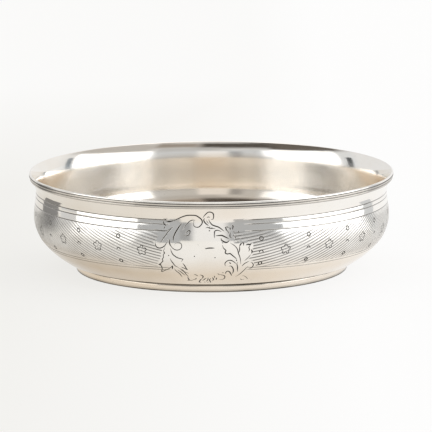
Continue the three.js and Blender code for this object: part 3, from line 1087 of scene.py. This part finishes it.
# Studio: a white table in a pale room, with a big soft box on either side
PAPER = "#fbf9f5"
PAPER_GLOW = ("#efeeea", "#ffffff")  # painted shade in front on the left, and the even white everywhere else
TABLE_GLOW = 0.85
BACKDROP = "#fbfbfb"
PAPER_FRONT = -0.6  # the paper ends here, and the bowl's neck mirrors the room past it


def white_table():
    """Seamless white paper: flat and even to the eye, with painted shade in its glow in front on the
    left, and it keeps the bowl's shadow."""
    material, tree = new_material("white_paper")
    rays = add(tree, "ShaderNodeLightPath").outputs
    kinds = (rays["Is Camera Ray"], rays["Is Glossy Ray"], rays["Is Transmission Ray"])
    seen = sum_of(tree, *kinds, clamp=True)
    paper = add(tree, "ShaderNodeBsdfDiffuse", {"Color": linear(PAPER)})
    place = add(tree, "ShaderNodeTexCoord").outputs["Object"]
    parts = add(tree, "ShaderNodeSeparateXYZ", {0: place}).outputs
    # Painted shade: the paper's glow is darker in front on the left
    to_right = ramp(tree, parts["X"], -0.12, 0.06, 0, 1)
    to_back = ramp(tree, parts["Y"], 0.1, 0.5, 0, 0.8)
    share = sum_of(tree, to_right, to_back, how="MAXIMUM")
    shade = mix(tree, share, *(linear(colour) for colour in PAPER_GLOW))
    glow = add(tree, "ShaderNodeEmission", {"Color": shade})
    flat = product(tree, seen, TABLE_GLOW)
    sides = {0: flat, 1: paper.outputs[0], 2: glow.outputs[0]}
    show(tree, add(tree, "ShaderNodeMixShader", sides))
    mesh = bpy.data.meshes.new("white_table")
    corners = [(-3, PAPER_FRONT, 0), (3, PAPER_FRONT, 0), (3, 3, 0), (-3, 3, 0)]
    mesh.from_pydata(corners, [], [(0, 1, 2, 3)])
    table = linked(mesh, "white_table")
    table.data.materials.append(material)


def tone(value, blue=0.0):
    """A grey light, or one with more blue and less red by that share."""
    return (value * (1 - blue), value, value * (1 + blue), 1)


# Boards that stand on the table round the bowl: their sweep in degrees, from the camera to the
# right, how far they stand from the middle and how tall they are, in metres, and their light
BOARDS = (
    ("left_softbox_foot", (-87, -43), 0.3, 0.045, tone(2.0, 0.02)),
    ("left_softbox_edge", (-103, -87), 0.3, 0.045, tone(0.75, 0.02)),
    ("right_softbox_edge", (45, 56), 0.3, 0.045, tone(1.5, 0.03)),
    ("right_softbox_foot", (56, 106), 0.3, 0.045, tone(2.4, 0.03)),
    ("front_left_card", (-42, -17), 0.25, 0.045, tone(0.48, 0.03)),
    ("front_right_card", (12, 40), 0.25, 0.045, tone(0.48, 0.03)),
    ("left_stand", (-120, -114), 0.376, 0.2, tone(0.1, 0.05)),
    ("left_stand_foot", (-113, -92), 0.14, 0.043, tone(0.27)),
    ("right_stand", (115, 121), 0.547, 0.29, tone(0.3, 0.1)),
    ("right_stand_foot", (90, 102), 0.14, 0.043, tone(0.66, 0.03)),
)


def boards():
    """Only the silver sees them."""
    off_the_paper = 0.0005
    for name, sweep, away, tall, light in BOARDS:
        material, tree = new_material(name)
        show(tree, add(tree, "ShaderNodeEmission", {"Color": light}))
        turns = np.radians(np.linspace(*sweep, 9))
        feet = away * np.stack([np.sin(turns), -np.cos(turns)], axis=1)
        places = [(x, y, z) for z in (off_the_paper, tall) for x, y in feet]
        faces = [(i, i + 1, i + 1 + len(feet), i + len(feet)) for i in range(len(feet) - 1)]
        mesh = bpy.data.meshes.new(name)
        mesh.from_pydata(places, [], faces)
        board = linked(mesh, name)
        board.data.materials.append(material)
        board.visible_camera = False
        board.visible_diffuse = False
        board.visible_shadow = False


# What stands further off: sweeps round the bowl and upward, in degrees, the softness of the
# edges, and the light of each. A panel covers those above it in the list.
ROOM = tone(0.8)
PANELS = (
    ((120, 205), (-30, 95), 6, tone(0.9)),
    ((-205, 205), (52, 78), 4, tone(1.3)),
    ((-205, 205), (78, 95), 6, tone(1.0)),
    ((-120, -45), (33, 55), 3, tone(0.12, -0.12)),
    ((-50, 10), (37, 56), 5, tone(0.08, -0.12)),
    ((8, 48), (39, 56), 5, tone(0.3, -0.12)),
    ((45, 118), (31, 52), 3, tone(0.5, -0.05)),
    ((-115, -43), (-30, 32), 3, tone(0.75, 0.02)),
    ((-97, -43), (-30, 32), 3, tone(1.9, 0.02)),
    ((41, 106), (-30, 30), 2, tone(1.7, 0.03)),
    ((56, 104), (-10, 28), 2, tone(2.6)),
    ((-43, 41), (-30, 33), 2, tone(0.62, 0.02)),
    ((-60, -36), (9, 31), 2, tone(1.3, 0.02)),
    ((-5, 41), (30, 38), 4, tone(0.5)),
    ((-42, -12), (-30, 12), 2, tone(0.48, 0.03)),
    ((10, 40), (-30, 12), 2, tone(0.48, 0.03)),
    ((-21, -12), (-30, 27), 2, tone(0.38, 0.02)),
    ((-12, 9), (-30, 28), 2, tone(0.9)),
)


def pale_room():
    """The silver sees the panels, and the camera sees white."""
    world = bpy.data.worlds.new("pale_room")
    bpy.context.scene.world = world
    world.use_nodes = True
    tree = world.node_tree
    tree.nodes.clear()
    direction = add(tree, "ShaderNodeTexCoord").outputs["Generated"]
    parts = add(tree, "ShaderNodeSeparateXYZ", {0: direction}).outputs
    ahead = product(tree, parts["Y"], -1.0)
    round_it = add(tree, "ShaderNodeMath", {0: parts["X"], 1: ahead}, operation="ARCTAN2").outputs[0]
    upward = add(tree, "ShaderNodeMath", {0: parts["Z"]}, operation="ARCSINE").outputs[0]

    def window(angle, low, high, soft):
        """1 between two angles in degrees, with soft sides."""
        low, high, soft = (math.radians(v) for v in (low, high, soft))
        rise = ramp(tree, angle, low - soft, low + soft, 0, 1)
        fall = ramp(tree, angle, high - soft, high + soft, 1, 0)
        return product(tree, rise, fall)

    colour = ROOM
    for sideways, up, soft, light in PANELS:
        inside = product(tree, window(round_it, *sideways, soft), window(upward, *up, soft))
        colour = mix(tree, inside, colour, light)
    seen = add(tree, "ShaderNodeLightPath").outputs["Is Camera Ray"]
    room = add(tree, "ShaderNodeBackground", {"Color": colour})
    white = add(tree, "ShaderNodeBackground", {"Color": linear(BACKDROP)})
    sides = {0: seen, 1: room.outputs[0], 2: white.outputs[0]}
    show(tree, add(tree, "ShaderNodeMixShader", sides), "ShaderNodeOutputWorld")


camera = photograph_camera()
bowl = bowl_body(camera)
polished = silver_finish("polished_sterling_silver", 0.08, decorated=True)
finished(bowl, polished, "bowl_silver", "bowl_body")
finished(reeded_wire(), silver_finish("drawn_silver_wire", 0.12), "wire_silver", "rim_wire")
finished(ring_foot(), silver_finish("silver_strip", 0.13), "foot_silver", "foot_ring")
finished(solder_seam(), silver_finish("hard_silver_solder", 0.32), "hard_solder", "foot_solder")
white_table()
boards()
pale_room()

bpy.context.scene.view_settings.view_transform = "Standard"
# Light crosses the polished inside of the bowl many times before it reaches the camera
bpy.context.scene.cycles.glossy_bounces = 12
